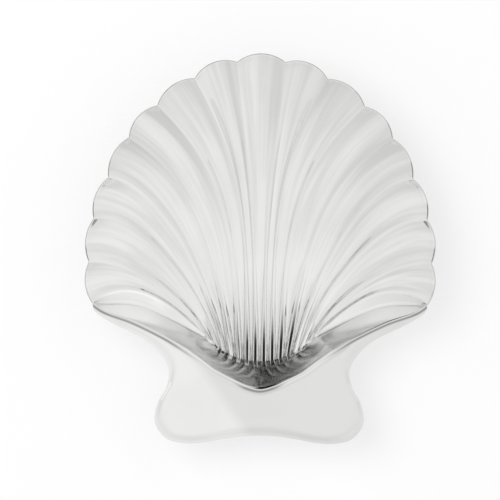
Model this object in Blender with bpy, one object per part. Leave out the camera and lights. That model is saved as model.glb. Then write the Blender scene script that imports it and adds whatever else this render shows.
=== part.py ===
"""Scallop-shell trinket dish: one thin metal piece with fifteen flutes, a hinge wall and a flat tab.

Plan axes: +Y runs from the hinge tab to the middle lobe, +X to the right, +Z up from the table.
"""

import math

import bpy
import numpy as np

# Driving dimensions, in metres
DISH_WIDTH = 0.120
RIM_HEIGHT = 0.0210
RISE_RUN = 0.054
HINGE_HEIGHT = 0.0195
CORNER_DROP = 0.0012
METAL = 0.0014
LOBE_BULGE = 0.0031
SIDE_BULGE = 0.0019
RIM_RIB = 0.0021
FLOOR_RIB = 0.0004
ROOT_RIB = 0.0016
ROOT_RISE = 0.0032
ROOT_RUN = 0.035
LIP_HEIGHT = 0.00015
LIP_WIDTH = 0.0009
LIP_COVE = 0.0003
COVE_WIDTH = 0.0016
BEAD_DROP = 0.0008
BEAD_WIDTH = 0.0011
BEAD_COVE = 0.00012
BEAD_COVE_PLACE = 0.0018
BEAD_COVE_WIDTH = 0.0005
SIDE_GROOVE = 0.0016
TAB_DOME = 0.0004
TAB_TURN = 0.0013
TAB_TURN_WIDTH = 0.0022
TAB_NARROW = 0.004
RIB_BLEND = 0.0004
EDGE_ROUND = 0.0003
FOOT_CUT = 0.0005

# Powers of the curves: the rise to the rim and to the ridges' roots, and how suddenly the lobes' bulge,
# the drop of the corners and the fading of the last ridges set in
RISE_POWER = 1.6
ROOT_POWER = 2.0
ROOT_RIB_POWER = 1.8
BULGE_POWER = 6
CORNER_POWER = 6
DROP_POWER = 4
FADE_POWER = 8

# Shares that set the section of the flutes, the hinge wall and the tab
CREST_SHARE = 0.05
CREASE_SHARE = 0.07
BOW_SHARE = 0.14
ROOT_CREST_SHARE = 0.22
ROOT_FLANK_SHARE = 0.16
RIM_FLANK_SHARE = 0.30
OUTER_START_SHARE = 0.50
OUTER_SPAN_SHARE = 0.30
FADE_SHARE = 0.7
UNDER_RIB_SHARE = 0.75
STEEP_SHARE = 0.75
WALL_SPLIT_SHARE = 0.55
GROOVE_SHARE = 0.50
GROOVE_PEAK_FACTOR = 27 / 4
FILLET_SHARE = 0.10
RIB_END_SHARE = 0.35
TAB_SPLIT_SHARE = 0.36
LEAST_UP_SHARE = 0.30

# Slopes of the ridges where they run into the hinge wall, and of the back of the last ridge
ROOT_SLOPE_RATIO = 0.25
BACK_SLOPE_RATIO = 1.0

# Plan of the fan, in shares of the half width, from the middle of the fan
ROOT_DEPTH_SHARE = 0.726
ROOT_RADIUS_SHARE = 0.411
ROOT_STEP_ANGLE = math.radians(6.75)

# Ridges on one side, from the axis out: bearing of the notch in degrees, its reach, lean and pull at the
# root, lean and pull at the rim. Leans are in degrees from +Y and pulls are shares of the ridge's length.
RIDGES = (
    (8.0, 0.991, 0.0, 0.50, 6.0, 0.30),
    (23.0, 0.965, 0.0, 0.50, 30.3, 0.34),
    (38.8, 0.940, 3.0, 0.34, 49.2, 0.41),
    (53.7, 0.930, 8.6, 0.40, 61.0, 0.32),
    (69.6, 0.924, 12.8, 0.35, 88.0, 0.23),
    (84.7, 0.953, 18.5, 0.37, 102.0, 0.24),
    (99.3, 0.988, 33.0, 0.45, 100.0, 0.20),
    (112.2, 1.034, 49.6, 0.50, 124.6, 0.41),
)

# Hinge edge and tab outline on one side, from the fan's corner to the axis, as (x, y) shares of the
# half width below the middle of the fan. The corner itself comes from the last ridge.
HINGE_SHARES = (
    (0.880, 0.443),
    (0.726, 0.497),
    (0.560, 0.577),
    (0.463, 0.634),
    (0.343, 0.714),
    (0.257, 0.777),
    (0.160, 0.826),
    (0.080, 0.864),
    (0.0, 0.883),
)
TAB_SHARES = (
    (0.938, 0.442),
    (0.848, 0.502),
    (0.749, 0.550),
    (0.653, 0.601),
    (0.570, 0.672),
    (0.517, 0.766),
    (0.529, 0.872),
    (0.580, 0.968),
    (0.594, 1.075),
    (0.533, 1.162),
    (0.429, 1.191),
    (0.320, 1.186),
    (0.213, 1.167),
    (0.105, 1.151),
    (0.0, 1.146),
)

# Mesh steps: places down a ridge's flank in shares of its width, rows up the fan in shares of its length,
# rows inside the rim in shares of the lip's width, rows across the groove and up the hinge wall in shares
# of their widths, rows beside the bead in shares of its width, rows across the tab, and rows beside its
# outline in shares of the width of its turned edge
FLANK_STEPS = (0.12, 1.0)
FAN_ROWS = (0.0, 0.07, 0.14, 0.22, 0.31, 0.41, 0.52, 0.63, 0.74, 0.85, 0.94, 1.0)
LIP_ROWS = (1.1, 0.5, 0.0)
GROOVE_ROWS = (0.5, 1.0)
WALL_ROWS = (0.20, 0.45, 0.75, 1.0)
BEAD_ROWS = (0.6, 1.6, 2.5)
TAB_ROWS = (0.5,)
TURN_ROWS = (1.0, 0.45, 0.0)
BEAD_ROW_LIMIT_SHARE = 0.12
TURN_ROW_LIMIT_SHARE = 0.16
CURVE_STEPS = 64

# Polished metal
METAL_COLOUR = (0.82, 0.82, 0.81, 1.0)
METAL_ROUGHNESS = 0.08

UNIT = DISH_WIDTH / 2 - EDGE_ROUND
LOBES = 2 * len(RIDGES) - 1
HALF_FAN = LOBES / 2


def smooth(x):
    """Rises from 0 to 1 with level ends."""
    x = min(max(x, 0.0), 1.0)
    return x * x * (3 - 2 * x)


def heading(degrees):
    """Unit plan vector at this many degrees clockwise from +Y."""
    a = math.radians(degrees)
    return np.array([math.sin(a), math.cos(a)])


class Curve:
    """A plan curve given by close points, read by share of its length."""

    def __init__(self, line):
        self.line = np.array(line)
        steps = np.linalg.norm(np.diff(self.line, axis=0), axis=1)
        self.length = steps.sum()
        self.at = np.concatenate([[0], np.cumsum(steps)]) / self.length

    def point(self, share, side=1):
        x, y = (np.interp(share, self.at, self.line[:, i]) for i in (0, 1))
        return np.array([side * x, y])


def ridge_curve(n):
    """The n-th ridge from the axis on the right-hand side, from its root to the notch in the rim."""
    bearing, reach, root_lean, root_pull, rim_lean, rim_pull = RIDGES[n]
    around = ROOT_STEP_ANGLE * (n + 0.5)
    root = UNIT * np.array([ROOT_RADIUS_SHARE * math.sin(around),
                            ROOT_RADIUS_SHARE * (1 - math.cos(around)) - ROOT_DEPTH_SHARE])
    notch = UNIT * reach * heading(bearing)
    length = np.linalg.norm(notch - root)
    b = root + root_pull * length * heading(root_lean)
    c = notch - rim_pull * length * heading(rim_lean)
    steps = np.linspace(0, 1, CURVE_STEPS + 1)
    return Curve([(1 - t) ** 3 * root + 3 * t * (1 - t) ** 2 * b + 3 * t * t * (1 - t) * c + t ** 3 * notch
                  for t in steps])


def through(shares):
    """A smooth curve from the fan's corner through points in shares of the half width to the axis."""
    points = [RIDGE_CURVES[-1].line[-1]] + [UNIT * np.array([x, -y]) for x, y in shares]
    points = [2 * points[0] - points[1]] + points + [points[-2] * (-1, 1)]
    line = []
    for a, b, c, d in zip(points, points[1:], points[2:], points[3:]):
        for t in np.arange(0, 1, 1 / CURVE_STEPS):
            line.append(0.5 * (2 * b + (c - a) * t + (2 * a - 5 * b + 4 * c - d) * t ** 2
                               + (3 * b - a - 3 * c + d) * t ** 3))
    return Curve(line + [points[-2]])


RIDGE_CURVES = [ridge_curve(n) for n in range(len(RIDGES))]
HINGE = through(HINGE_SHARES)
OUTLINE = through(TAB_SHARES)


def ridge_at(n):
    """Curve of ridge n counted from the left, and the side it lies on."""
    k = n - len(RIDGES)
    return (RIDGE_CURVES[k], 1) if k >= 0 else (RIDGE_CURVES[-k - 1], -1)


def ridge(n, t):
    """Plan point of ridge n at share t of the way from root to rim."""
    curve, side = ridge_at(n)
    return curve.point(t, side)


def run_length(lobe, s):
    """Length of the way from root to rim at share s across a lobe."""
    return (1 - s) * ridge_at(lobe)[0].length + s * ridge_at(lobe + 1)[0].length


def fan_point(lobe, s, t):
    """Plan point at share s across a lobe and share t from root to rim; the rim end is a round arc."""
    left = ridge(lobe, t)
    right = ridge(lobe + 1, t)
    chord = right - left
    width = np.linalg.norm(ridge(lobe + 1, 1.0) - ridge(lobe, 1.0))
    bulge = LOBE_BULGE + (SIDE_BULGE - LOBE_BULGE) * abs(lobe + 0.5 - HALF_FAN) / (HALF_FAN - 0.5)
    radius = (width * width / 4 + bulge ** 2) / (2 * bulge)
    angle = (2 * s - 1) * math.asin(width / (2 * radius))
    along = radius * math.sin(angle) - (s - 0.5) * width
    outward = radius * math.cos(angle) - (radius - bulge)
    unit = chord / np.linalg.norm(chord)
    normal = np.array([-unit[1], unit[0]])
    return (1 - s) * left + s * right + t ** BULGE_POWER * (along * unit + outward * normal)


def near_root(t, length):
    """1 at the roots of the ridges, falling to 0 over the run that the roots rise on."""
    return max(1 - t * length / ROOT_RUN, 0)


def floor_height(t, length):
    """Height of the flute bottoms above the lowest line of the bowl, on a way of this length."""
    rim = max(1 - (1 - t) * length / RISE_RUN, 0)
    return ROOT_RISE * near_root(t, length) ** ROOT_POWER + RIM_HEIGHT * rim ** RISE_POWER


def rib_height(t, length, away):
    """Height of the ridges above the flute bottoms; the roots of the outer ridges are lower."""
    root = ROOT_RIB * (1 - smooth((away - OUTER_START_SHARE) / OUTER_SPAN_SHARE))
    return FLOOR_RIB + root * near_root(t, length) ** ROOT_RIB_POWER + (RIM_RIB - FLOOR_RIB) * t * t


def flank(t):
    """Share of a lobe's width that the steep flank of each ridge takes."""
    return ROOT_FLANK_SHARE + (RIM_FLANK_SHARE - ROOT_FLANK_SHARE) * t * t


def rib_section(s, t, length):
    """Section across a flute: crests at the ridges, steep flanks, then a shallow floor.

    The crests are narrow and round along the fan and widen to flat tops at their roots.
    """
    near = min(s, 1 - s)
    beside = max(near - ROOT_CREST_SHARE * near_root(t, length), 0)
    steep = 1 - (math.hypot(beside, CREST_SHARE) - CREST_SHARE) / flank(t)
    floor = BOW_SHARE * (1 - 2 * near) ** 2
    return (steep + floor + math.hypot(steep - floor, CREASE_SHARE)) / 2


def rib_part(lobe, s, t, top):
    """Height that the ribs add to the floor of the bowl."""
    away = abs(lobe + s - HALF_FAN) / HALF_FAN
    length = run_length(lobe, s)
    face = 1.0 if top else UNDER_RIB_SHARE
    fade = 1 - FADE_SHARE * away ** FADE_POWER * t
    return face * fade * rib_height(t, length, away) * rib_section(s, t, length)


def fan_height(lobe, s, t, top):
    """Height of the top face, or of the face that the underside follows."""
    away = abs(lobe + s - HALF_FAN) / HALF_FAN
    length = run_length(lobe, s)
    z = floor_height(t, length) - CORNER_DROP * away ** CORNER_POWER * t ** DROP_POWER
    z += rib_part(lobe, s, t, top)
    if top:
        d = (1 - t) * length
        z += LIP_HEIGHT * math.exp(-((2 * d / LIP_WIDTH - 1) ** 2))
        z += LIP_COVE * math.exp(-((d / COVE_WIDTH) ** 2))
    return z


def crest_height(share, corner_z):
    """Height of the hinge edge, from the fan's corner at 0 to the axis at 1."""
    return HINGE_HEIGHT + (corner_z - HINGE_HEIGHT) * (1 - share) ** 2


def wall_height(q, share, gap, inner_z, rib, crest_z):
    """Height across the hinge wall, from the ribs at q = 0 to the hinge edge at q = 1, gap away.

    The ridges run on until the wall overtakes them, and a groove lies behind the last one on each side.
    """
    side = min(share / WALL_SPLIT_SHARE, 1.0)
    groove = GROOVE_SHARE * (1 - side ** 2)
    depth = SIDE_GROOVE * GROOVE_PEAK_FACTOR * side * (1 - side) ** 2
    foot = inner_z - rib * side
    if q < groove:
        wall = foot - depth * smooth(q / groove)
    else:
        x = (q - groove) / (1 - groove)
        rise = (1 - STEEP_SHARE) * x + STEEP_SHARE * (side * smooth(x) + (1 - side) * x * x)
        wall = foot - depth + (crest_z - foot + depth) * rise
    crest = inner_z + q * gap * (ROOT_SLOPE_RATIO * side - BACK_SLOPE_RATIO * (1 - side))
    blend = RIB_BLEND * smooth(q / RIB_END_SHARE) * (1 - smooth((q - RIB_END_SHARE) / (1 - RIB_END_SHARE)))
    return (wall + crest + math.hypot(wall - crest, blend)) / 2


def tab_height(d, e, crest_z, scale, top):
    """Height of the tab at distance d from the hinge edge and e from the outline."""
    z = crest_z - scale * BEAD_DROP
    if top:
        z += scale * BEAD_DROP * math.exp(-((d / BEAD_WIDTH) ** 2))
        z -= scale * BEAD_COVE * math.exp(-(((d - BEAD_COVE_PLACE) / BEAD_COVE_WIDTH) ** 2))
    z += TAB_DOME * scale * smooth(d / (d + e))
    return z - scale * TAB_TURN * math.exp(-((e / TAB_TURN_WIDTH) ** 2))


def lobe_places(t):
    """Lobe and share across it of every point in the row that lies at about t from root to rim."""
    crest = ROOT_CREST_SHARE * near_root(t, run_length(len(RIDGES) - 1, 0.5))
    half = [0.0] + [crest + w * flank(t) for w in FLANK_STEPS] + [0.5]
    across = half + [1 - s for s in half[-2:0:-1]]
    return [(lobe, s) for lobe in range(LOBES) for s in across] + [(LOBES - 1, 1.0)]


def face_sheet(top):
    """One face of the dish: points, faces and the closed rim as point numbers."""
    points = []
    faces = []
    ribs = []

    def add(p, z):
        points.append((p[0], p[1], z))
        return len(points) - 1

    rows = []
    inside = (LIP_ROWS[0] + 0.5) * LIP_WIDTH
    for share, width in [(w, inside) for w in FAN_ROWS] + [(1.0, w * LIP_WIDTH) for w in LIP_ROWS]:
        row = []
        for lobe, s in lobe_places(share):
            t = share * (1 - width / run_length(lobe, s))
            row.append(add(fan_point(lobe, s, t), fan_height(lobe, s, t, top)))
            ribs.append(rib_part(lobe, s, t, top))
        rows.append(row)
    for low, high in zip(rows, rows[1:]):
        faces.extend((low[i], low[i + 1], high[i + 1], high[i]) for i in range(len(low) - 1))

    # Columns of the wall and the tab, from the left corner round to the right one
    left = [row[0] for row in reversed(rows)]
    right = [row[-1] for row in rows]
    root = rows[0]
    inner = left[:-1] + root + right[1:]
    plan = np.array(points)
    along = np.concatenate([[0], np.cumsum(np.linalg.norm(np.diff(plan[left][:, :2], axis=0), axis=1))])
    ridge_shares = list(WALL_SPLIT_SHARE * along / along[-1])
    middle = (len(root) - 1) / 2
    root_shares = [1 - (1 - WALL_SPLIT_SHARE) * abs(i - middle) / middle for i in range(len(root))]
    shares = ridge_shares[:-1] + root_shares + ridge_shares[-2::-1]
    corner_z = plan[left[0]][2]

    columns = []
    for i, n in enumerate(inner):
        side = -1 if i < len(inner) / 2 else 1
        share = shares[i]
        if i in (0, len(inner) - 1):
            columns.append([n])
            continue
        start = plan[n][:2]
        crest = HINGE.point(share, side)
        crest_z = crest_height(share, corner_z)
        column = [n]
        place = FILLET_SHARE + (GROOVE_SHARE - FILLET_SHARE) * (1 - min(share / WALL_SPLIT_SHARE, 1.0) ** 2)
        steps = [place * w for w in GROOVE_ROWS] + [place + (1 - place) * w for w in WALL_ROWS]
        gap = np.linalg.norm(crest - start)
        for q in steps:
            z = wall_height(q, share, gap, plan[n][2], ribs[n], crest_z)
            column.append(add(start + q * (crest - start), z))
        if share < WALL_SPLIT_SHARE:
            out_share = share * TAB_SPLIT_SHARE / WALL_SPLIT_SHARE
        else:
            out_share = 1 - (1 - share) * (1 - TAB_SPLIT_SHARE) / (1 - WALL_SPLIT_SHARE)
        end = OUTLINE.point(out_share, side)
        span = np.linalg.norm(end - crest)
        scale = min(1.0, span / TAB_NARROW)
        starts = [min(w * BEAD_WIDTH, BEAD_ROW_LIMIT_SHARE * span * (k + 1))
                  for k, w in enumerate(BEAD_ROWS)]
        ends = [min(w * TAB_TURN_WIDTH, TURN_ROW_LIMIT_SHARE * span * (2 - k))
                for k, w in enumerate(TURN_ROWS)]
        middles = [starts[-1] + w * (span - ends[0] - starts[-1]) for w in TAB_ROWS]
        for d in starts + middles + [span - e for e in ends]:
            z = tab_height(d, span - d, crest_z, scale, top)
            column.append(add(crest + d / span * (end - crest), z))
        columns.append(column)
    for one, two in zip(columns, columns[1:]):
        if len(one) == 1:
            faces.extend((one[0], two[k + 1], two[k]) for k in range(len(two) - 1))
        elif len(two) == 1:
            faces.extend((one[k], one[k + 1], two[0]) for k in range(len(one) - 1))
        else:
            faces.extend((one[k], one[k + 1], two[k + 1], two[k]) for k in range(len(one) - 1))

    rim = rows[-1] + [column[-1] for column in columns[-2:0:-1]]
    return np.array(points), faces, rim


def steepness(points, faces):
    """Upward part of the unit normal at every point of a sheet."""
    normals = np.zeros_like(points)
    for face in faces:
        corners = points[list(face)]
        n = np.cross(corners[1] - corners[0], corners[2] - corners[0])
        if len(face) == 4:
            n = n + np.cross(corners[2] - corners[0], corners[3] - corners[0])
        for v in face:
            normals[v] += n
    return np.abs(normals[:, 2]) / np.maximum(np.linalg.norm(normals, axis=1), 1e-12)


def outward(loop):
    """Outward unit plan vectors of a closed rim."""
    ahead = np.roll(loop, -1, axis=0) - loop
    behind = loop - np.roll(loop, 1, axis=0)
    ahead /= np.linalg.norm(ahead, axis=1)[:, None]
    behind /= np.linalg.norm(behind, axis=1)[:, None]
    tangent = ahead + behind
    tangent /= np.linalg.norm(tangent, axis=1)[:, None]
    area = np.sum(loop[:, 0] * np.roll(loop[:, 1], -1) - loop[:, 1] * np.roll(loop[:, 0], -1))
    return np.stack([tangent[:, 1], -tangent[:, 0]], axis=1) * (1 if area > 0 else -1)


def dish_mesh():
    """The closed body: top face, underside and a rounded edge between them."""
    top, faces, rim = face_sheet(True)
    under, _, _ = face_sheet(False)
    under[:, 2] -= METAL / np.maximum(steepness(under, faces), LEAST_UP_SHARE)
    ground = FOOT_CUT - METAL
    under[:, 2] = np.maximum(under[:, 2], ground)

    count = len(top)
    middle = (top[rim] + under[rim]) / 2
    middle[:, :2] += EDGE_ROUND * outward(top[rim][:, :2])
    points = np.concatenate([top, under, middle])
    points[:, 2] -= ground
    points[:, :2] -= (points[:, :2].min(axis=0) + points[:, :2].max(axis=0)) / 2

    body = [tuple(face) for face in faces]
    body += [tuple(count + v for v in reversed(face)) for face in faces]
    for i in range(len(rim)):
        j = (i + 1) % len(rim)
        a, b = rim[i], rim[j]
        body.append((a, b, 2 * count + j, 2 * count + i))
        body.append((2 * count + i, 2 * count + j, count + b, count + a))
    return points, body


def metal_material():
    """Polished silver-coloured metal."""
    material = bpy.data.materials.new("polished_silver")
    material.use_nodes = True
    shader = material.node_tree.nodes["Principled BSDF"]
    shader.inputs["Base Color"].default_value = METAL_COLOUR
    shader.inputs["Metallic"].default_value = 1.0
    shader.inputs["Roughness"].default_value = METAL_ROUGHNESS
    return material


for old in list(bpy.data.objects):
    bpy.data.objects.remove(old, do_unlink=True)

dish_points, dish_faces = dish_mesh()
mesh = bpy.data.meshes.new("shell_dish")
mesh.from_pydata([tuple(p) for p in dish_points], [], dish_faces)
mesh.validate()
mesh.update()
mesh.shade_smooth()
mesh.materials.append(metal_material())
dish = bpy.data.objects.new("shell_dish", mesh)
bpy.context.scene.collection.objects.link(dish)
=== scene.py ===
"""Looks of the scallop-shell trinket dish: fine polished surface, studio light and the overhead camera."""

import math

import bpy
import numpy as np
from mathutils import Matrix, Vector


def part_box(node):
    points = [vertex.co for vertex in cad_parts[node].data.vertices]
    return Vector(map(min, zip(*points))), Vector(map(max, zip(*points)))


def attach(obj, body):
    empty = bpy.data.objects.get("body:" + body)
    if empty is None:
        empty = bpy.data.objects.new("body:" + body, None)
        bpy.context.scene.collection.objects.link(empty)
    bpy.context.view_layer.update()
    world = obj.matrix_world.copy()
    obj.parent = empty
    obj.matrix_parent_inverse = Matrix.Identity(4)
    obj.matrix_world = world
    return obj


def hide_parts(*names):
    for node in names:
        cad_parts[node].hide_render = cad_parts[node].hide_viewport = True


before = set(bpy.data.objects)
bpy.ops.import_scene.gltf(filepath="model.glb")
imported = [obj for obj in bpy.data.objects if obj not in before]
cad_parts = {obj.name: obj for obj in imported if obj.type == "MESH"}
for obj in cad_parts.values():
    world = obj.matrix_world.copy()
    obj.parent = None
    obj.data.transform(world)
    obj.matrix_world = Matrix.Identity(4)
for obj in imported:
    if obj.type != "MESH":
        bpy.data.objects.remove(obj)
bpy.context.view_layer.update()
LOW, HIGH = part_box("shell_dish")

# Sizes of the dish, in metres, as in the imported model, apart from lip and bead, which are finer here
RIM_HEIGHT = 0.0210
RISE_RUN = 0.054
HINGE_HEIGHT = 0.0195
CORNER_DROP = 0.0012
METAL = 0.0014
LOBE_BULGE = 0.0031
SIDE_BULGE = 0.0019
RIM_RIB = 0.0021
FLOOR_RIB = 0.0004
ROOT_RIB = 0.0016
ROOT_RISE = 0.0032
ROOT_RUN = 0.035
LIP_HEIGHT = 0.00006
LIP_WIDTH = 0.0009
LIP_COVE = 0.0001
COVE_WIDTH = 0.0016
BEAD_DROP = 0.0008
BEAD_WIDTH = 0.0007
SIDE_GROOVE = 0.0016
BEAD_COVE = 0.00008
BEAD_COVE_PLACE = 0.0013
BEAD_COVE_WIDTH = 0.0005
TAB_DOME = 0.0004
TAB_TURN = 0.0013
TAB_TURN_WIDTH = 0.0022
TAB_NARROW = 0.004
EDGE_ROUND = 0.0003
FOOT_CUT = 0.0005

# Powers of the curves: the rise to the rim and to the ribs' roots, and how suddenly the lobes' bulge,
# the drop of the corners and the fading of the last ridges set in
RISE_POWER = 1.6
ROOT_POWER = 2.0
ROOT_RIB_POWER = 1.8
BULGE_POWER = 6
CORNER_POWER = 6
DROP_POWER = 4
FADE_POWER = 8

# Shares that set the section of the flutes, the hinge wall and the tab
CREST_SHARE = 0.05
CREASE_SHARE = 0.07
BOW_SHARE = 0.14
ROOT_CREST_SHARE = 0.22
ROOT_FLANK_SHARE = 0.16
RIM_FLANK_SHARE = 0.30
OUTER_START_SHARE = 0.50
OUTER_SPAN_SHARE = 0.30
FADE_SHARE = 0.7
UNDER_RIB_SHARE = 0.75
STEEP_SHARE = 0.75
GROOVE_PEAK_FACTOR = 27 / 4
WALL_SPLIT_SHARE = 0.55
GROOVE_SHARE = 0.50
FILLET_SHARE = 0.10
RIB_END_SHARE = 0.35
ROOT_SLOPE_RATIO = 0.25
BACK_SLOPE_RATIO = 1.0
RIB_BLEND = 0.0004
TAB_SPLIT_SHARE = 0.36
LEAST_UP_SHARE = 0.30

# Plan of the fan, in shares of the half width, from the middle of the fan
UNIT = 0.0597
ROOT_DEPTH_SHARE = 0.726
ROOT_RADIUS_SHARE = 0.411
ROOT_STEP_ANGLE = math.radians(6.75)

# Ridges on one side, from the axis out: bearing of the notch in degrees, its reach, lean and pull at the
# root, lean and pull at the rim. Leans are in degrees from +Y and pulls are shares of the ridge's length.
RIDGES = (
    (8.0, 0.991, 0.0, 0.50, 6.0, 0.30),
    (23.0, 0.965, 0.0, 0.50, 30.3, 0.34),
    (38.8, 0.940, 3.0, 0.34, 49.2, 0.41),
    (53.7, 0.930, 8.6, 0.40, 61.0, 0.32),
    (69.6, 0.924, 12.8, 0.35, 88.0, 0.23),
    (84.7, 0.953, 18.5, 0.37, 102.0, 0.24),
    (99.3, 0.988, 33.0, 0.45, 100.0, 0.20),
    (112.2, 1.034, 49.6, 0.50, 124.6, 0.41),
)
LOBES = 2 * len(RIDGES) - 1
HALF_FAN = LOBES / 2

# Hinge edge and tab outline on one side, from the fan's corner to the axis, as (x, y) shares of the
# half width below the middle of the fan. The corner itself comes from the last ridge.
HINGE_SHARES = (
    (0.880, 0.443),
    (0.726, 0.497),
    (0.560, 0.577),
    (0.463, 0.634),
    (0.343, 0.714),
    (0.257, 0.777),
    (0.160, 0.826),
    (0.080, 0.864),
    (0.0, 0.883),
)
TAB_SHARES = (
    (0.938, 0.442),
    (0.848, 0.502),
    (0.749, 0.550),
    (0.653, 0.601),
    (0.570, 0.672),
    (0.517, 0.766),
    (0.529, 0.872),
    (0.580, 0.968),
    (0.594, 1.075),
    (0.533, 1.162),
    (0.429, 1.191),
    (0.320, 1.186),
    (0.213, 1.167),
    (0.105, 1.151),
    (0.0, 1.146),
)

# Mesh steps of the fine surface. Across a lobe they crowd at its ridges. The rows of the bead reach some
# of its widths from the crest, those of the turned border some of its widths from the outline, and both
# draw together where the tab is narrower than DRAW_SPAN.
CURVE_STEPS = 64
LOBE_STEPS = 20
CROWD_SHARE = 0.4
FAN_ROWS = 46
LIP_ROWS = 9
LIP_ROWS_REACH = 2
GROOVE_ROWS = 5
WALL_ROWS = 13
BEAD_ROWS = 13
BEAD_ROWS_REACH = 3.6
TAB_ROWS = 8
TURN_ROWS = 8
TURN_ROWS_REACH = 1.7
DRAW_SPAN = 0.010
EDGE_STEPS = 8

# Lengths, and sizes of normals, below these count as these, so that nothing is divided by zero
LEAST_LENGTH = 1e-9
LEAST_AREA = 1e-12

# The places that each point is given for the material
PLACES = ("across", "up", "wall", "edge", "groove", "tab", "bead")

# The painted shade at the foot of the bead, in metres from the crest of the hinge
FOOT_PLACE = 0.0008
FOOT_WIDTH = 0.0005

# The painted highlight in the groove behind the last ridge, in shares of the rows along that ridge from the
# corner: where it starts and how soon it is full, where it ends and how soon before that it fades. Its last
# row is weaker.
GLEAM_START = 0.1
GLEAM_RISE = 0.15
GLEAM_END = 0.75
GLEAM_FALL = 0.2
GLEAM_LAST_ROW = 0.5

# Painted dark reflection at the last row of the fan, of 1 on the rounded edge itself
LAST_ROW_DARK_REFLECTION = 0.6


def smooth(x):
    """Rises from 0 to 1 with level ends."""
    x = np.clip(x, 0.0, 1.0)
    return x * x * (3 - 2 * x)


def heading(degrees):
    """Unit plan vector at this many degrees clockwise from +Y."""
    a = math.radians(degrees)
    return np.array([math.sin(a), math.cos(a)])


class Curve:
    """A plan curve given by close points, read by share of its length."""

    def __init__(self, line):
        self.line = np.array(line)
        steps = np.linalg.norm(np.diff(self.line, axis=0), axis=1)
        self.length = steps.sum()
        self.at = np.concatenate([[0], np.cumsum(steps)]) / self.length

    def points(self, share, side=1):
        x = side * np.interp(share, self.at, self.line[:, 0])
        return np.stack([x, np.interp(share, self.at, self.line[:, 1])], axis=-1)


def ridge_curve(n):
    """The n-th ridge from the axis on the right-hand side, from its root to the notch in the rim."""
    bearing, reach, root_lean, root_pull, rim_lean, rim_pull = RIDGES[n]
    around = ROOT_STEP_ANGLE * (n + 0.5)
    root = UNIT * np.array([ROOT_RADIUS_SHARE * math.sin(around),
                            ROOT_RADIUS_SHARE * (1 - math.cos(around)) - ROOT_DEPTH_SHARE])
    notch = UNIT * reach * heading(bearing)
    length = np.linalg.norm(notch - root)
    b = root + root_pull * length * heading(root_lean)
    c = notch - rim_pull * length * heading(rim_lean)
    t = np.linspace(0, 1, CURVE_STEPS + 1)[:, None]
    return Curve((1 - t) ** 3 * root + 3 * t * (1 - t) ** 2 * b + 3 * t * t * (1 - t) * c + t ** 3 * notch)


def through(shares):
    """A smooth curve from the fan's corner through points in shares of the half width to the axis."""
    points = [RIDGE_CURVES[-1].line[-1]] + [UNIT * np.array([x, -y]) for x, y in shares]
    points = [2 * points[0] - points[1]] + points + [points[-2] * (-1, 1)]
    t = (np.arange(CURVE_STEPS) / CURVE_STEPS)[:, None]
    line = [
        0.5 * (2 * b + (c - a) * t + (2 * a - 5 * b + 4 * c - d) * t ** 2 + (3 * b - a - 3 * c + d) * t ** 3)
        for a, b, c, d in zip(points, points[1:], points[2:], points[3:])
    ]
    return Curve(np.concatenate(line + [points[-2][None]]))


RIDGE_CURVES = [ridge_curve(n) for n in range(len(RIDGES))]
HINGE = through(HINGE_SHARES)
OUTLINE = through(TAB_SHARES)
RIDGE_LENGTHS = np.array([curve.length for curve in RIDGE_CURVES[::-1] + RIDGE_CURVES])


def ridge(n, t):
    """Plan points of the ridges n, counted from the left, at shares t of the way from root to rim."""
    n = np.broadcast_to(n, t.shape)
    out = np.empty(t.shape + (2,))
    for k in range(2 * len(RIDGES)):
        side = 1 if k >= len(RIDGES) else -1
        curve = RIDGE_CURVES[k - len(RIDGES) if side == 1 else len(RIDGES) - 1 - k]
        out[n == k] = curve.points(t[n == k], side)
    return out


def run_length(lobe, s):
    """Length of the way from root to rim at shares s across the lobes."""
    return (1 - s) * RIDGE_LENGTHS[lobe] + s * RIDGE_LENGTHS[lobe + 1]


def fan_point(lobe, s, t):
    """Plan points across the lobes; the rim ends are round arcs."""
    left = ridge(lobe, t)
    right = ridge(lobe + 1, t)
    chord = right - left
    rim = np.ones(t.shape)
    width = np.linalg.norm(ridge(lobe + 1, rim) - ridge(lobe, rim), axis=-1)
    bulge = LOBE_BULGE + (SIDE_BULGE - LOBE_BULGE) * abs(lobe + 0.5 - HALF_FAN) / (HALF_FAN - 0.5)
    radius = (width * width / 4 + bulge ** 2) / (2 * bulge)
    angle = (2 * s - 1) * np.arcsin(width / (2 * radius))
    along = radius * np.sin(angle) - (s - 0.5) * width
    outward = radius * np.cos(angle) - (radius - bulge)
    unit = chord / np.linalg.norm(chord, axis=-1)[..., None]
    normal = np.stack([-unit[..., 1], unit[..., 0]], axis=-1)
    shift = along[..., None] * unit + outward[..., None] * normal
    s = s[..., None]
    return (1 - s) * left + s * right + t[..., None] ** BULGE_POWER * shift


def near_root(t, length):
    """1 at the roots of the ridges, falling to 0 over the run that the roots rise on."""
    return np.maximum(1 - t * length / ROOT_RUN, 0)


def floor_height(t, length):
    """Height of the flute bottoms above the lowest line of the bowl, on ways of these lengths."""
    rim = np.maximum(1 - (1 - t) * length / RISE_RUN, 0)
    return ROOT_RISE * near_root(t, length) ** ROOT_POWER + RIM_HEIGHT * rim ** RISE_POWER


def rib_height(t, length, away):
    """Height of the ridges above the flute bottoms; the roots of the outer ridges are lower."""
    root = ROOT_RIB * (1 - smooth((away - OUTER_START_SHARE) / OUTER_SPAN_SHARE))
    return FLOOR_RIB + root * near_root(t, length) ** ROOT_RIB_POWER + (RIM_RIB - FLOOR_RIB) * t * t


def flank(t):
    """Share of a lobe's width that the steep flank of each ridge takes."""
    return ROOT_FLANK_SHARE + (RIM_FLANK_SHARE - ROOT_FLANK_SHARE) * t * t


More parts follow.
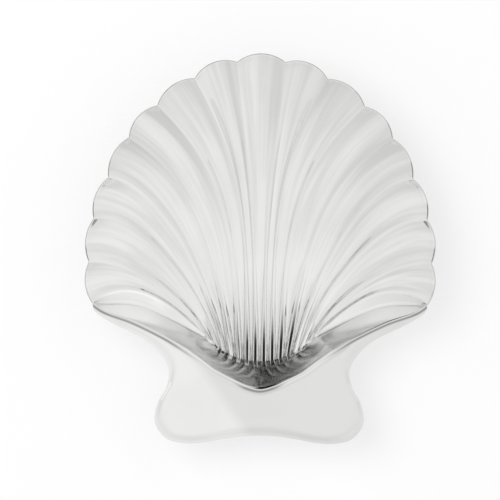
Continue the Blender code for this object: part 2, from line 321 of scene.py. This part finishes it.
def rib_section(s, t, length):
    """Section across a flute: crests at the ridges, steep flanks, then a shallow floor.

    The crests are narrow and round along the fan and widen to flat tops at their roots.
    """
    near = np.minimum(s, 1 - s)
    beside = np.maximum(near - ROOT_CREST_SHARE * near_root(t, length), 0)
    steep = 1 - (np.hypot(beside, CREST_SHARE) - CREST_SHARE) / flank(t)
    floor = BOW_SHARE * (1 - 2 * near) ** 2
    return (steep + floor + np.hypot(steep - floor, CREASE_SHARE)) / 2


def rib_part(lobe, s, t, top):
    """Height that the ribs add to the floor of the bowl."""
    away = abs(lobe + s - HALF_FAN) / HALF_FAN
    length = run_length(lobe, s)
    fade = 1 - FADE_SHARE * away ** FADE_POWER * t
    return rib_height(t, length, away) * rib_section(s, t, length) * fade * (1.0 if top else UNDER_RIB_SHARE)


def fan_height(lobe, s, t, top):
    """Height of the top face, or of the face that the underside follows."""
    away = abs(lobe + s - HALF_FAN) / HALF_FAN
    length = run_length(lobe, s)
    z = floor_height(t, length) - CORNER_DROP * away ** CORNER_POWER * t ** DROP_POWER
    z += rib_part(lobe, s, t, top)
    if top:
        d = (1 - t) * length
        z += LIP_HEIGHT * np.exp(-((2 * d / LIP_WIDTH - 1) ** 2))
        z += LIP_COVE * np.exp(-((d / COVE_WIDTH) ** 2))
    return z


def ridge_side(share):
    """0 at the corners, rising to 1 where the hinge leaves the last ridges for the ribs' roots."""
    return np.minimum(share / WALL_SPLIT_SHARE, 1.0)


def wall_height(q, share, gap, inner_z, rib, crest_z):
    """Height across the hinge wall, from the ribs at q = 0 to the hinge edge at q = 1.

    The ridges run on until the wall overtakes them, and a groove lies behind the last one on each side.
    """
    side = ridge_side(share)
    groove = GROOVE_SHARE * (1 - side ** 2)
    depth = SIDE_GROOVE * GROOVE_PEAK_FACTOR * side * (1 - side) ** 2
    foot = inner_z - rib * side
    x = (q - groove) / (1 - groove)
    rise = (1 - STEEP_SHARE) * x + STEEP_SHARE * (side * smooth(x) + (1 - side) * x * x)
    wall = np.where(q < groove, foot - depth * smooth(q / np.maximum(groove, LEAST_LENGTH)),
                    foot - depth + (crest_z - foot + depth) * rise)
    crest = inner_z + q * gap * (ROOT_SLOPE_RATIO * side - BACK_SLOPE_RATIO * (1 - side))
    blend = RIB_BLEND * smooth(q / RIB_END_SHARE) * (1 - smooth((q - RIB_END_SHARE) / (1 - RIB_END_SHARE)))
    return (wall + crest + np.hypot(wall - crest, blend)) / 2


def tab_height(d, e, crest_z, scale, top):
    """Height of the tab at distance d from the hinge edge and e from the outline."""
    z = crest_z - scale * BEAD_DROP
    if top:
        z = z + scale * BEAD_DROP * np.exp(-((d / BEAD_WIDTH) ** 2))
        z = z - scale * BEAD_COVE * np.exp(-(((d - BEAD_COVE_PLACE) / BEAD_COVE_WIDTH) ** 2))
    z = z + TAB_DOME * scale * smooth(d / (d + e))
    return z - scale * TAB_TURN * np.exp(-((e / TAB_TURN_WIDTH) ** 2))


def fan_grid():
    """Lobe, place across it and share from root to rim for every point of the fan."""
    lobe = np.repeat(np.arange(LOBES), LOBE_STEPS)
    s = np.tile(np.arange(LOBE_STEPS) / LOBE_STEPS, LOBES)
    s -= CROWD_SHARE * np.sin(2 * math.pi * s) / (2 * math.pi)
    lobe = np.append(lobe, LOBES - 1)
    s = np.append(s, 1.0)
    lip = LIP_ROWS_REACH * COVE_WIDTH / run_length(lobe, s)
    inside = np.linspace(0, 1, FAN_ROWS)[:, None] * (1 - lip)
    edge = 1 - np.linspace(1, 0, LIP_ROWS + 1)[1:, None] * lip
    t = np.concatenate([inside, edge])
    return np.broadcast_to(lobe, t.shape), np.broadcast_to(s, t.shape), t


def hinge_shares(fan):
    """Share of the way along the hinge, from corner to axis, for each point of the wall's inner edge."""
    down = fan[::-1, 0, :2]
    along = np.concatenate([[0], np.cumsum(np.linalg.norm(np.diff(down, axis=0), axis=1))])
    across = np.linspace(0, 2, fan.shape[1])
    root = 1 - (1 - WALL_SPLIT_SHARE) * abs(across - 1)
    beside = WALL_SPLIT_SHARE * along / along[-1]
    return np.concatenate([beside, root[1:-1], beside[::-1]])[:, None]


def wall_points(start, share, rib, crest, crest_z):
    """Rows over the wall from its inner edge to the crest, with rows of their own in the groove."""
    place = FILLET_SHARE + (GROOVE_SHARE - FILLET_SHARE) * (1 - ridge_side(share) ** 2)
    first = np.linspace(0, 1, GROOVE_ROWS + 1)[1:]
    rest = np.linspace(0, 1, WALL_ROWS + 1)[1:]
    q = np.concatenate([place * first, place + (1 - place) * rest], axis=1)
    way = crest - start[:, :2]
    plan = start[:, None, :2] + q[..., None] * way[:, None]
    gap = np.linalg.norm(way, axis=-1)[:, None]
    height = wall_height(q, share, gap, start[:, 2:3], rib, crest_z)
    return np.concatenate([plan, height[..., None]], axis=-1)


def tab_points(share, side, crest, crest_z, top):
    """Rows over the tab from the crest to the outline, and how far each point lies from the crest."""
    beyond = 1 - (1 - share) * (1 - TAB_SPLIT_SHARE) / (1 - WALL_SPLIT_SHARE)
    out_share = np.where(share < WALL_SPLIT_SHARE, share * TAB_SPLIT_SHARE / WALL_SPLIT_SHARE, beyond)
    outline = OUTLINE.points(out_share, side)[:, 0]
    span = np.maximum(np.linalg.norm(outline - crest, axis=-1), LEAST_LENGTH)[:, None]
    scale = np.minimum(1.0, span / TAB_NARROW)
    draw = np.minimum(1.0, span / DRAW_SPAN)
    starts = np.linspace(0, BEAD_ROWS_REACH * BEAD_WIDTH, BEAD_ROWS)[1:] * draw
    ends = span - np.linspace(TURN_ROWS_REACH * TAB_TURN_WIDTH, 0, TURN_ROWS) * draw
    middles = starts[:, -1:] + (np.arange(1, TAB_ROWS) / TAB_ROWS) * (ends[:, :1] - starts[:, -1:])
    d = np.concatenate([starts, middles, ends], axis=1)
    plan = crest[:, None] + (d / span)[..., None] * (outline - crest)[:, None]
    height = tab_height(d, span - d, crest_z, scale, top)
    return np.concatenate([plan, height[..., None]], axis=-1), d


def sheet(top):
    """One face of the dish.

    Gives its points, the point numbers of the fan in rows and of wall and tab in columns, and how far each
    point of the tab lies from the crest of the hinge.
    """
    lobe, s, t = fan_grid()
    fan = np.concatenate([fan_point(lobe, s, t), fan_height(lobe, s, t, top)[..., None]], axis=-1)
    fan_ids = np.arange(fan.shape[0] * fan.shape[1]).reshape(fan.shape[:2])

    # The inner edge of the wall runs down the left ridge, along the ribs' roots and up the right ridge
    inner = np.concatenate([fan_ids[::-1, 0], fan_ids[0, 1:-1], fan_ids[:, -1]])
    start = fan.reshape(-1, 3)[inner]
    rib = rib_part(lobe, s, t, top).reshape(-1)[inner][:, None]
    share = hinge_shares(fan)
    side = np.where(np.arange(len(inner)) < len(inner) / 2, -1, 1)[:, None]
    crest = HINGE.points(share, side)[:, 0]
    corner_z = start[0, 2]
    crest_z = HINGE_HEIGHT + (corner_z - HINGE_HEIGHT) * (1 - share) ** 2

    # Both ends of the inner edge are corners of the fan, where wall and tab have shrunk to one point
    wall = wall_points(start, share, rib, crest, crest_z)
    tab, from_crest = tab_points(share, side, crest, crest_z, top)
    skirt = np.concatenate([wall, tab], axis=1)[1:-1]
    skirt_ids = fan_ids.size + np.arange(skirt.shape[0] * skirt.shape[1]).reshape(skirt.shape[:2])
    left_ids = np.full((1, skirt.shape[1]), inner[0])
    right_ids = np.full((1, skirt.shape[1]), inner[-1])
    columns = np.concatenate([inner[:, None], np.concatenate([left_ids, skirt_ids, right_ids])], axis=1)
    points = np.concatenate([fan.reshape(-1, 3), skirt.reshape(-1, 3)])
    return points, fan_ids, columns, from_crest[1:-1]


def grid_faces(ids):
    """Four-cornered faces of a grid of point numbers."""
    return np.stack([ids[:-1, :-1], ids[:-1, 1:], ids[1:, 1:], ids[1:, :-1]], axis=-1).reshape(-1, 4)


def steepness(points, quads):
    """Upward part of the unit normal at every point of a sheet."""
    a, b, c, d = (points[quads[:, k]] for k in range(4))
    n = np.cross(c - a, d - b)
    normals = np.zeros_like(points)
    for k in range(4):
        np.add.at(normals, quads[:, k], n)
    return np.abs(normals[:, 2]) / np.maximum(np.linalg.norm(normals, axis=1), LEAST_AREA)


def outward(loop):
    """Outward unit plan vectors of a closed rim that runs clockwise."""
    ahead = np.roll(loop, -1, axis=0) - loop
    behind = loop - np.roll(loop, 1, axis=0)
    tangent = ahead / np.linalg.norm(ahead, axis=1)[:, None]
    tangent = tangent + behind / np.linalg.norm(behind, axis=1)[:, None]
    tangent /= np.linalg.norm(tangent, axis=1)[:, None]
    return np.stack([-tangent[:, 1], tangent[:, 0]], axis=1)


def edge_bands(top, under, rim):
    """Rows of points that round the edge of the metal, from the top face down to the underside."""
    middle = (top[rim] + under[rim]) / 2
    half = (top[rim, 2] - under[rim, 2]) / 2
    away = outward(top[rim, :2])
    bands = []
    for k in range(1, EDGE_STEPS):
        angle = math.pi * k / EDGE_STEPS
        band = middle.copy()
        band[:, :2] += EDGE_ROUND * math.sin(angle) * away
        band[:, 2] += half * math.cos(angle)
        bands.append(band)
    return bands


def painted_highlight_amount(steps):
    """How strong the painted highlight in the groove is at each of its points along the last ridge, from the
    corner to its root.
    """
    along = np.linspace(0, 1, steps)[:, None]
    rise = smooth((along - GLEAM_START) / GLEAM_RISE)
    amount = rise * smooth((GLEAM_END - along) / GLEAM_FALL) * np.ones(GROOVE_ROWS)
    amount[:, -1] *= GLEAM_LAST_ROW
    return amount


def face_places(count, fan_ids, columns, from_crest):
    """Places of the points of one face.

    across counts the lobes and up is the share from root to rim. The others say how much of the hinge
    wall, the rim edge's painted dark reflection, the groove's painted highlight, the tab and the painted
    shade at the bead's foot a point has.
    """
    lobe, s, t = fan_grid()
    crest_column = GROOVE_ROWS + WALL_ROWS
    places = {name: np.zeros(count) for name in PLACES}
    places["across"][:fan_ids.size] = (lobe + s).ravel()
    places["up"][:fan_ids.size] = t.ravel()
    places["wall"][columns[1:-1, 1:crest_column]] = 1.0
    places["tab"][columns[1:-1, crest_column + BEAD_ROWS // 2:]] = 1.0
    foot = np.exp(-(((from_crest - FOOT_PLACE) / FOOT_WIDTH) ** 2))
    # The foot of the bead carries painted shade
    places["bead"][columns[1:-1, crest_column + 1:]] = foot
    # The groove behind each last ridge carries a painted highlight
    for ridge_columns in (columns[1:fan_ids.shape[0]], columns[-2:-fan_ids.shape[0]:-1]):
        places["groove"][ridge_columns[:, :GROOVE_ROWS]] = painted_highlight_amount(len(ridge_columns))
    # The last row of the fan carries part of the rim's painted dark reflection
    places["edge"][fan_ids[-1]] = LAST_ROW_DARK_REFLECTION
    return places


def dish_surface():
    """Points and faces of the whole closed dish, and the places of each point."""
    top, fan_ids, columns, from_crest = sheet(True)
    under = sheet(False)[0]
    quads = np.concatenate([grid_faces(fan_ids), grid_faces(columns)])
    under[:, 2] -= METAL / np.maximum(steepness(under, quads), LEAST_UP_SHARE)
    ground = FOOT_CUT - METAL
    under[:, 2] = np.maximum(under[:, 2], ground)

    rim = np.concatenate([fan_ids[-1], columns[-2:0:-1, -1]])
    bands = edge_bands(top, under, rim)
    count = len(top)
    points = np.concatenate([top, under] + bands)
    band_ids = [2 * count + k * len(rim) + np.arange(len(rim)) for k in range(len(bands))]
    edge = np.stack([rim] + band_ids + [count + rim])
    edge = np.concatenate([edge, edge[:, :1]], axis=1)
    faces = np.concatenate([quads, count + quads[:, ::-1], grid_faces(edge)])

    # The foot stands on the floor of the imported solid's box, and the middle of the plan lies in its middle
    points[:, 2] += LOW[2] - ground
    middle_plan = (points[:, :2].min(axis=0) + points[:, :2].max(axis=0)) / 2
    points[:, :2] += np.array([(LOW[0] + HIGH[0]) / 2, (LOW[1] + HIGH[1]) / 2]) - middle_plan

    face = face_places(count, fan_ids, columns, from_crest)
    band = {name: np.zeros(len(rim)) for name in PLACES}
    # The rounded edge carries the full painted dark reflection
    band["edge"][:fan_ids.shape[1]] = 1.0
    places = {name: np.concatenate([face[name]] * 2 + [band[name]] * len(bands)) for name in PLACES}
    return points, faces, places


def make_dish():
    """The dish as one fine smooth mesh, with each point's places on it as attributes."""
    points, faces, places = dish_surface()
    mesh = bpy.data.meshes.new("dish_body")
    mesh.from_pydata(points.tolist(), [], [tuple(dict.fromkeys(face)) for face in faces.tolist()])
    mesh.validate()
    mesh.shade_smooth()
    for name, values in places.items():
        attribute = mesh.attributes.new(name, "FLOAT", "POINT")
        attribute.data.foreach_set("value", values)
    dish = bpy.data.objects.new("dish_body", mesh)
    bpy.context.scene.collection.objects.link(dish)
    return dish


class Nodes:
    """Short calls for building a node tree."""

    def __init__(self, tree):
        self.tree = tree
        tree.nodes.clear()

    def add(self, kind, inputs=None, **settings):
        node = self.tree.nodes.new(kind)
        for name, value in settings.items():
            setattr(node, name, value)
        for name, value in (inputs or {}).items():
            self.put(node.inputs[name], value)
        return node

    def put(self, socket, value):
        """Links the value to the socket, or writes it there."""
        if isinstance(value, bpy.types.NodeSocket):
            self.tree.links.new(value, socket)
        else:
            socket.default_value = value

    def math(self, operation, a, b=0.0):
        return self.add("ShaderNodeMath", {0: a, 1: b}, operation=operation).outputs[0]

    def plus(self, a, b):
        return self.math("ADD", a, b)

    def minus(self, a, b):
        return self.math("SUBTRACT", a, b)

    def times(self, a, b):
        return self.math("MULTIPLY", a, b)

    def ramp(self, value, low, high, to_low=0.0, to_high=1.0):
        """Smooth way from to_low, where the value is low, to to_high, where it is high."""
        inputs = {"Value": value, "From Min": low, "From Max": high, "To Min": to_low, "To Max": to_high}
        return self.add("ShaderNodeMapRange", inputs, interpolation_type="SMOOTHSTEP").outputs[0]

    def mix(self, share, a, b):
        """Colour a, turning into colour b by the share."""
        return self.add("ShaderNodeMix", {0: share, 6: a, 7: b}, data_type="RGBA").outputs[2]

    def noise(self, vector, scale, detail):
        inputs = {"Vector": vector, "Scale": scale, "Detail": detail}
        return self.add("ShaderNodeTexNoise", inputs).outputs["Fac"]


# Tones of the silver, and of the painted highlight, painted shades and painted dark reflection on it
DEEP = (0.86, 0.86, 0.85, 1.0)
PALE = (0.90, 0.90, 0.89, 1.0)
# painted highlight in the groove behind the last ridge
PAINTED_HIGHLIGHT = (1.0, 1.0, 1.0, 1.0)
# painted shade, a darker reflection, on the right of the tab
TAB_SHADE_TONE = (0.75, 0.75, 0.74, 1.0)
# tarnish and painted shade on the middle of the hinge wall
TARNISH_AND_SHADE_TONE = (0.22, 0.22, 0.215, 1.0)
# painted shade at the foot of the bead
FOOT_SHADE = (0.16, 0.16, 0.155, 1.0)
# painted dark reflection along the rim edge
RIM_DARK_REFLECTION = (0.42, 0.42, 0.41, 1.0)

# Polish streaks along the flutes, fine ones, and broad dark ones that are painted shade of the flutes'
# flanks: noise steps across a lobe and from root to rim, detail of the noise, where on the noise a streak
# starts and is full, where up the flutes the streaks start and are full, their share there, and their tone
STREAKS_AND_FLANK_SHADE = (
    (9.0, 2.5, 5.0, (0.40, 0.68), (0.0, 0.1), 0.45, (0.76, 0.76, 0.75, 1.0)),
    (2.6, 1.3, 2.0, (0.46, 0.62), (0.25, 0.8), 0.5, (0.70, 0.70, 0.69, 1.0)),
)

# The painted highlight in the groove is weaker on the right: between these places in X it falls to this share
GLEAM_TURN = (-0.01, 0.01)
GLEAM_RIGHT_SHARE = 0.35

# Painted shade, a darker reflection, covers the tab to the right of a line across this direction in plan,
# between these distances
TAB_SHADE_DIRECTION = (0.817, 0.577)
TAB_SHADE_ENDS = (-0.0425, -0.0373)
TAB_SHADE_SHARE = 0.75

# Tarnish and painted shade on the hinge wall about its middle, and how far from there they start to fade and
# are gone
TARNISH_AND_SHADE_MIDDLE = 0.0008
TARNISH_AND_SHADE_ENDS = (0.004, 0.022)
TARNISH_AND_SHADE_SHARE = 0.60

# Painted shade at the foot of the bead: it is dark near the axis and at the sides, by distance from the axis
FOOT_MIDDLE_ENDS = (0.004, 0.010)
FOOT_SIDE_ENDS = (0.020, 0.032)
FOOT_SHARE = 0.75

# The rim edge carries a painted dark reflection where its place is between these
DARK_REFLECTION_ENDS = (0.2, 0.9)
DARK_REFLECTION_SHARE = 0.75

# Clouds in the silver: noise steps to the metre, detail, and where on the noise it goes from deep to pale
CLOUD_SCALE = 38.0
CLOUD_DETAIL = 4.0
CLOUD_ENDS = (0.35, 0.65)

# Scratches are noise stretched along a turned direction, between these places on the noise
SCRATCH_SCALE = (6000.0, 120.0, 400.0)
SCRATCH_TURN = (0.0, 0.0, 0.6)
SCRATCH_DETAIL = 2.0
SCRATCH_ENDS = (0.62, 0.80)

# Roughness at two places on the clouds' noise, and what scratches and the hinge wall add to it
ROUGH_ENDS = (0.3, 0.7)
ROUGHNESS = (0.035, 0.07)
SCRATCH_ROUGHNESS = 0.05
WALL_ROUGHNESS = 0.12

# Polishing lines to a lobe, where up the flutes they set in and where they fade out
LINES = 7
LINES_START = (0.02, 0.15)
LINES_END = (0.55, 0.85)

# Heights of the bump, in metres: slow swell of the metal, polishing lines and fine grain
SWELL_HEIGHT = 0.00012
SWELL_SCALE = 38.0
SWELL_DETAIL = 1.0
LINE_HEIGHT = 0.000004
GRAIN_HEIGHT = 0.0000012
GRAIN_SCALE = 900.0
GRAIN_DETAIL = 3.0


def streaked_and_shaded(n, tone, across, up):
    """Polish streaks, and broad bands of painted flank shade, that run up the flutes."""
    for across_steps, up_steps, detail, ends, start, share, streak_and_shade_tone in STREAKS_AND_FLANK_SHADE:
        way = n.add("ShaderNodeCombineXYZ", {"X": n.times(across, across_steps), "Y": n.times(up, up_steps)})
        streak_and_shade = n.ramp(n.noise(way.outputs[0], 1.0, detail), *ends)
        tone = n.mix(n.times(streak_and_shade, n.ramp(up, *start, 0.0, share)), tone, streak_and_shade_tone)
    return tone


def tab_painted_shade(n, tone, tab, axes):
    """Painted shade: a darker reflection over the right-hand part of the tab, up to a slanted line."""
    slant = n.plus(n.times(axes["X"], TAB_SHADE_DIRECTION[0]), n.times(axes["Y"], TAB_SHADE_DIRECTION[1]))
    tab_shade = n.times(n.ramp(slant, *TAB_SHADE_ENDS), tab)
    return n.mix(n.times(tab_shade, TAB_SHADE_SHARE), tone, TAB_SHADE_TONE)


def tarnish_and_shade(n, tone, wall, axes):
    """Tarnish and painted shade on the middle of the hinge wall."""
    beside = n.math("ABSOLUTE", n.minus(axes["X"], TARNISH_AND_SHADE_MIDDLE))
    deep = n.times(wall, n.ramp(beside, *TARNISH_AND_SHADE_ENDS, 1.0, 0.0))
    return n.mix(n.times(deep, TARNISH_AND_SHADE_SHARE), tone, TARNISH_AND_SHADE_TONE)


def painted_foot_shade(n, tone, bead, axes):
    """Painted shade: a dark line along the foot of the bead, near the axis and at the sides."""
    away = n.math("ABSOLUTE", axes["X"])
    foot_shade = n.plus(n.ramp(away, *FOOT_SIDE_ENDS), n.ramp(away, *FOOT_MIDDLE_ENDS, 1.0, 0.0))
    return n.mix(n.times(n.times(foot_shade, bead), FOOT_SHARE), tone, FOOT_SHADE)


def surface_bump(n, place, across, up):
    """Swell of the metal, polishing lines that run along the flutes, and fine grain."""
    line = n.math("SINE", n.times(across, 2 * math.pi * LINES))
    on_flutes = n.ramp(up, *LINES_START)
    off_rim = n.ramp(up, *LINES_END, 1.0, 0.0)
    lines = n.times(line, n.times(on_flutes, off_rim))
    swell = n.noise(place, SWELL_SCALE, SWELL_DETAIL)
    grain = n.noise(place, GRAIN_SCALE, GRAIN_DETAIL)
    height = n.plus(n.times(swell, SWELL_HEIGHT), n.times(lines, LINE_HEIGHT))
    height = n.plus(height, n.times(grain, GRAIN_HEIGHT))
    return n.add("ShaderNodeBump", {"Height": height, "Distance": 1.0, "Strength": 1.0}).outputs[0]


def silver_material():
    """Polished silver plate: bright, slightly wavy, with streaks, fine scratches and some tarnish; its colour
    also carries a painted highlight, painted shades and a painted dark reflection.
    """
    material = bpy.data.materials.new("polished_silver")
    material.use_nodes = True
    n = Nodes(material.node_tree)
    place = n.add("ShaderNodeTexCoord").outputs["Object"]
    across, up, wall, edge, groove, tab, bead = (
        n.add("ShaderNodeAttribute", attribute_name=name).outputs["Fac"] for name in PLACES)
    axes = n.add("ShaderNodeSeparateXYZ", {0: place}).outputs

    cloud = n.noise(place, CLOUD_SCALE, CLOUD_DETAIL)
    tone = n.mix(n.ramp(cloud, *CLOUD_ENDS), DEEP, PALE)
    # Polish streaks, and painted shade of the flutes' flanks
    tone = streaked_and_shaded(n, tone, across, up)
    # Painted highlight in the groove behind the last ridge, weaker on the right
    tone = n.mix(n.times(groove, n.ramp(axes["X"], *GLEAM_TURN, 1.0, GLEAM_RIGHT_SHARE)), tone, PAINTED_HIGHLIGHT)
    # Painted shade: a darker reflection on the right of the tab
    tone = tab_painted_shade(n, tone, tab, axes)
    # Tarnish and painted shade on the middle of the hinge wall
    tone = tarnish_and_shade(n, tone, wall, axes)
    # Painted shade at the foot of the bead
    tone = painted_foot_shade(n, tone, bead, axes)
    # Painted dark reflection along the rim edge
    tone = n.mix(n.times(n.ramp(edge, *DARK_REFLECTION_ENDS), DARK_REFLECTION_SHARE), tone, RIM_DARK_REFLECTION)

    inputs = {"Vector": place, "Rotation": SCRATCH_TURN, "Scale": SCRATCH_SCALE}
    stretched = n.add("ShaderNodeMapping", inputs).outputs[0]
    scratches = n.ramp(n.noise(stretched, 1.0, SCRATCH_DETAIL), *SCRATCH_ENDS)
    rough = n.plus(n.ramp(cloud, *ROUGH_ENDS, *ROUGHNESS), n.times(scratches, SCRATCH_ROUGHNESS))
    rough = n.plus(rough, n.ramp(wall, 0.0, 1.0, 0.0, WALL_ROUGHNESS))

    bump = surface_bump(n, place, across, up)
    inputs = {"Base Color": tone, "Metallic": 1.0, "Roughness": rough, "Normal": bump}
    shader = n.add("ShaderNodeBsdfPrincipled", inputs).outputs[0]
    n.add("ShaderNodeOutputMaterial", {"Surface": shader})
    return material


# The table is this large from its middle to each side, and lies this far under the foot, so that the two
# faces don't share one plane. This share of it is plain white to the camera and in the metal.
TABLE_REACH = 3.0
FLOOR_GAP = 0.0001
TABLE_TONE = (0.90, 0.90, 0.90, 1.0)
TABLE_GLOW_SHARE = 0.6
WHITE = (1.0, 1.0, 1.0, 1.0)


def floor_material():
    """White table that keeps the soft shadow of the dish."""
    material = bpy.data.materials.new("white_table")
    material.use_nodes = True
    n = Nodes(material.node_tree)
    diffuse = n.add("ShaderNodeBsdfDiffuse", {"Color": TABLE_TONE}).outputs[0]
    glow = n.add("ShaderNodeEmission", {"Color": WHITE, "Strength": 1.0}).outputs[0]
    ray = n.add("ShaderNodeLightPath").outputs
    seen = n.times(n.math("MAXIMUM", ray["Is Camera Ray"], ray["Is Glossy Ray"]), TABLE_GLOW_SHARE)
    both = n.add("ShaderNodeMixShader", {0: seen, 1: diffuse, 2: glow})
    n.add("ShaderNodeOutputMaterial", {"Surface": both.outputs[0]})
    return material


def make_floor():
    """Table under the dish, which isn't part of it."""
    mesh = bpy.data.meshes.new("table")
    level = LOW[2] - FLOOR_GAP
    corners = [(x * TABLE_REACH, y * TABLE_REACH, level) for x, y in ((-1, -1), (1, -1), (1, 1), (-1, 1))]
    mesh.from_pydata(corners, [], [(0, 1, 2, 3)])
    table = bpy.data.objects.new("table", mesh)
    table.data.materials.append(floor_material())
    bpy.context.scene.collection.objects.link(table)


# Brightness of the tent at the horizon, what it gains towards the top and how late, and what it gains at
# the right and the left, each between two places of a direction's X
TENT_LEVEL = 0.755
TOP_GAIN = 0.195
TOP_POWER = 1.6
RIGHT_ENDS = (0.30, 0.90)
RIGHT_GAIN = 0.10
LEFT_ENDS = (-0.90, -0.30)
LEFT_GAIN = 0.05

# A soft panel on the tab's side: its direction, the angles in degrees from there where it starts to fade
# and is gone, and what it adds
PANEL_DIRECTION = (0.42, -0.76, 0.50)
PANEL_FADE = 6
PANEL_END = 24
PANEL_GAIN = 0.07

# A dimmer part of the tent beyond the lobes, left of the middle, by the Y and the X of a direction, and the
# share that it takes off
DIM_FAR = (0.0, 0.25)
DIM_RIGHT = (-0.15, 0.25)
DIM_LEFT = (-0.75, -0.30)
DIM_SHARE = 0.18

# The dark gap beyond the lobes: where it sets in by the Y of a direction, and its right and left sides by X
# over Y. It is narrower on both sides where Y is large, and wider on the left where Y is small.
GAP_FAR = (0.21, 0.42)
GAP_RIGHT = (0.16, 0.42)
GAP_LEFT = (-0.78, -0.40)
GAP_NARROWER = (0.45, 0.70)
GAP_RIGHT_PART = 0.17
GAP_LEFT_PART = 0.06
GAP_WIDER = (0.30, 0.44)
GAP_WIDER_PART = 0.16
GAP_LEAST_Y = 0.05
GAP_SHARE = 0.97


def cap(n, direction, centre, inner, outer):
    """1 inside a round patch of sky around centre, 0 outside, soft between two angles in degrees."""
    unit = Vector(centre).normalized()
    dot = n.add("ShaderNodeVectorMath", {0: direction, 1: unit}, operation="DOT_PRODUCT").outputs["Value"]
    return n.ramp(dot, math.cos(math.radians(outer)), math.cos(math.radians(inner)))


def tent_level(n, direction, axes):
    """Brightness of the white tent in a direction, a little darker near the horizon."""
    high = n.times(n.math("POWER", n.math("MAXIMUM", axes["Z"], 0.0), TOP_POWER), TOP_GAIN)
    right = n.ramp(axes["X"], *RIGHT_ENDS, 0.0, RIGHT_GAIN)
    left = n.ramp(axes["X"], *LEFT_ENDS, LEFT_GAIN, 0.0)
    level = n.plus(n.plus(high, TENT_LEVEL), n.plus(right, left))
    panel = cap(n, direction, PANEL_DIRECTION, PANEL_FADE, PANEL_END)
    level = n.plus(level, n.times(panel, PANEL_GAIN))
    dim = n.times(n.ramp(axes["Y"], *DIM_FAR), n.ramp(axes["X"], *DIM_RIGHT, 1.0, 0.0))
    dim = n.times(dim, n.ramp(axes["X"], *DIM_LEFT))
    return n.times(level, n.minus(1.0, n.times(dim, DIM_SHARE)))


def dark_gap(n, axes):
    """How much of a direction lies in the dark gap beyond the lobes."""
    beside = n.math("DIVIDE", axes["X"], n.math("MAXIMUM", axes["Y"], GAP_LEAST_Y))
    narrower = n.ramp(axes["Y"], *GAP_NARROWER)
    wider = n.ramp(axes["Y"], *GAP_WIDER, GAP_WIDER_PART, 0.0)
    right = n.plus(beside, n.times(narrower, GAP_RIGHT_PART))
    left = n.plus(n.minus(beside, n.times(narrower, GAP_LEFT_PART)), wider)
    gap = n.times(n.ramp(right, *GAP_RIGHT, 1.0, 0.0), n.ramp(left, *GAP_LEFT))
    return n.times(gap, n.ramp(axes["Y"], *GAP_FAR))


def studio_world():
    """White tent with a dark gap beyond the lobes. The metal mirrors it, and the camera sees plain white."""
    world = bpy.data.worlds.new("studio")
    bpy.context.scene.world = world
    world.use_nodes = True
    n = Nodes(world.node_tree)
    direction = n.add("ShaderNodeTexCoord").outputs["Generated"]
    axes = n.add("ShaderNodeSeparateXYZ", {0: direction}).outputs
    level = tent_level(n, direction, axes)
    level = n.times(level, n.minus(1.0, n.times(dark_gap(n, axes), GAP_SHARE)))
    ray = n.add("ShaderNodeLightPath").outputs
    strength = n.mix(ray["Is Camera Ray"], level, WHITE)
    background = n.add("ShaderNodeBackground", {"Color": strength, "Strength": 1.0})
    n.add("ShaderNodeOutputWorld", {"Surface": background.outputs[0]})


# The key lamp: power in watts, side in metres and place. It aims at the dish's origin.
KEY_POWER = 6.0
KEY_SIDE = 0.8
KEY_PLACE = (-0.5, 0.3, 1.1)


def make_key_light():
    """Soft lamp for the shadow on the table. The metal doesn't mirror it."""
    light = bpy.data.lights.new("key", "AREA")
    light.energy = KEY_POWER
    light.size = KEY_SIDE
    lamp = bpy.data.objects.new("key", light)
    lamp.location = KEY_PLACE
    lamp.rotation_euler = (Vector((0, 0, 0)) - lamp.location).to_track_quat("-Z", "Y").to_euler()
    lamp.visible_glossy = False
    bpy.context.scene.collection.objects.link(lamp)


# The photograph is 500 pixels wide; these are its scale at the rim's height and where the dish's centre
# falls in it
PHOTO_SIDE = 500
PIXELS_PER_METRE = 2931.0
CENTRE_PIXEL = (260.3, 248.9)

# The camera's distance above the rim, its turn, and its sensor's width in millimetres
CAMERA_DISTANCE = 1.6
CAMERA_ROLL = math.radians(0.3)
SENSOR_WIDTH = 36.0
FARTHEST_SEEN = 20.0


def make_camera():
    """Camera straight above, framed as the photograph is."""
    camera = bpy.data.cameras.new("camera")
    view = bpy.data.objects.new("camera", camera)
    bpy.context.scene.collection.objects.link(view)
    bpy.context.scene.camera = view
    camera.sensor_width = SENSOR_WIDTH
    camera.lens = SENSOR_WIDTH * CAMERA_DISTANCE * PIXELS_PER_METRE / PHOTO_SIDE
    camera.clip_end = FARTHEST_SEEN
    aside = PHOTO_SIDE / 2 - CENTRE_PIXEL[0]
    ahead = CENTRE_PIXEL[1] - PHOTO_SIDE / 2
    offset = Vector((aside, ahead, 0)) / PIXELS_PER_METRE
    turn = Matrix.Rotation(CAMERA_ROLL, 4, "Z")
    place = turn @ offset + Vector((0, 0, RIM_HEIGHT + CAMERA_DISTANCE))
    view.matrix_world = Matrix.Translation(place) @ turn


dish = make_dish()
dish.data.materials.append(silver_material())
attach(dish, "root")
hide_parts("shell_dish")
make_floor()
studio_world()
make_key_light()
make_camera()

bpy.context.scene.view_settings.view_transform = "Standard"
